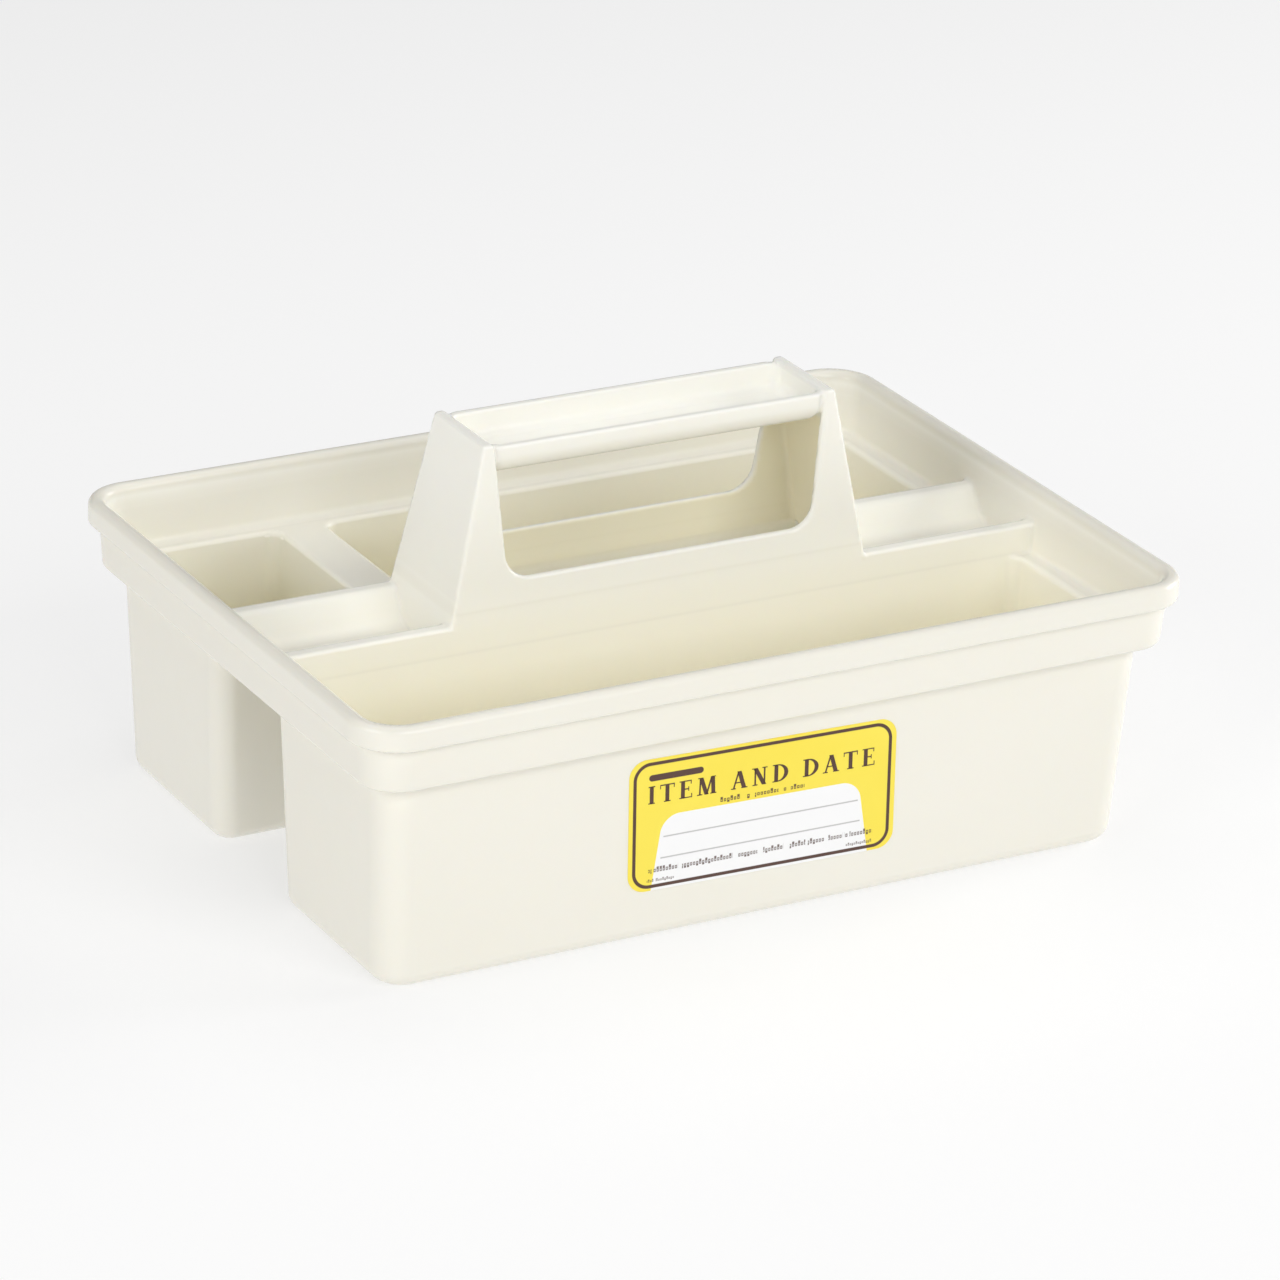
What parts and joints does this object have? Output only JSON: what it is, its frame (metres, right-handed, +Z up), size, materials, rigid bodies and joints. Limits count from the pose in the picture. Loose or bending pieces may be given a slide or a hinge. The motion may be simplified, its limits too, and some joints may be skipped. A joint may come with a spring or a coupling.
{
  "type": "cleaning caddy",
  "caption": "Open-topped moulded caddy with deep side bins, shallow middle pockets and a hollow carrying handle with a trough-shaped grip.",
  "frame": {"origin": "on the surface it stands on, under the middle of the caddy", "axes": "+X along the length, towards the viewer's right when the labelled side faces the viewer; -Y towards the labelled front; +Z up"},
  "size_m": [0.25, 0.182, 0.1192],
  "materials": {
    "body_plastic": "semi-gloss cream polypropylene",
    "label_print": "satin printed label"
  },
  "bodies": {
    "root": {"rim_and_ledge": "body_plastic", "front_bin": "body_plastic", "rear_left_bin": "body_plastic", "rear_right_bin": "body_plastic", "left_pocket": "body_plastic", "right_pocket": "body_plastic", "handle_tower": "body_plastic", "handle_grip": "body_plastic", "label": "label_print"}
  },
  "joints": []
}
